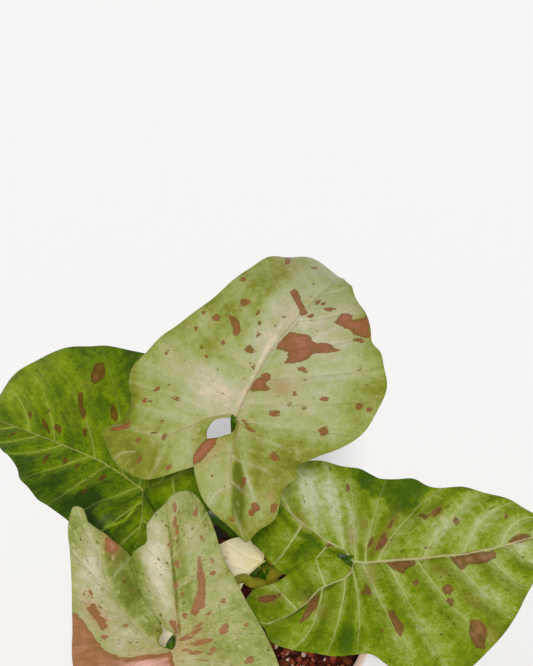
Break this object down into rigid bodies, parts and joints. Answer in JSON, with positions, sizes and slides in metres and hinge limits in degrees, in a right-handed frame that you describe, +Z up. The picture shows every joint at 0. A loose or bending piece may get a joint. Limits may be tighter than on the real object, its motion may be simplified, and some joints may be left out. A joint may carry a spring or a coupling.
{
  "type": "potted syngonium",
  "caption": "Arrowhead plant with large patterned leaves on slender petioles and a cream young leaf, growing from coarse soil in a plain tapered round pot",
  "frame": {"origin": "middle of the pot's flat underside, which is the mount base", "axes": "+Z up; -Y towards the viewer of the picture; +X to the picture's right"},
  "size_m": [0.2264, 0.1895, 0.2261],
  "materials": {
    "pot": "pale blush, plain glaze with a soft sheen",
    "soil": "coarse bark and baked clay mix, dull and damp",
    "stem": "fresh green, smooth and slightly waxy",
    "leaf_top": "pale milky green with rosy brown splashes, satin",
    "leaf_left": "mid green with pale veins, satin",
    "leaf_front": "pale green with a rosy brown side and fine speckles, satin",
    "leaf_right": "green with pale veins and rosy patches by the midrib, satin",
    "leaf_young": "cream, thin and soft"
  },
  "bodies": {
    "root": {"pot": "pot", "soil": "soil", "stem_with_petioles": "stem", "blade_top": "leaf_top", "blade_left": "leaf_left", "blade_front": "leaf_front", "blade_right": "leaf_right", "blade_young": "leaf_young"}
  },
  "joints": []
}
